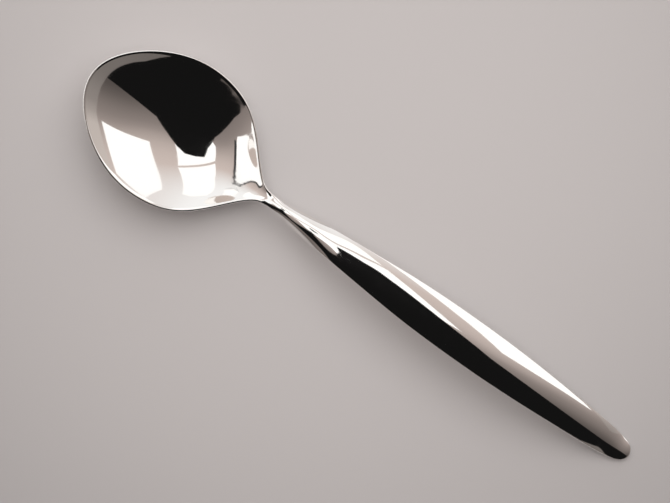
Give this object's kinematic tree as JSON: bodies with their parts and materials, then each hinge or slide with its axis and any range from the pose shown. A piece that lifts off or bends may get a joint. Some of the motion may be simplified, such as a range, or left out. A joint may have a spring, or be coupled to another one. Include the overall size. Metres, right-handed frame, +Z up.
{
  "type": "soup spoon",
  "caption": "Mirror polished soup spoon with a deep egg-shaped bowl, a very slim neck and a slender arched handle.",
  "frame": {"origin": "on the table that the spoon lies on, under the middle of its length and width", "axes": "+X from the bowl towards the end of the handle, +Z up out of the bowl's hollow, +Y across the spoon"},
  "size_m": [0.178, 0.0404, 0.0148],
  "materials": {
    "polished_metal": "mirror polished",
    "solder": "mirror polished, flush"
  },
  "bodies": {
    "root": {"bowl": "polished_metal", "handle": "polished_metal", "solder_seam": "solder"}
  },
  "joints": []
}
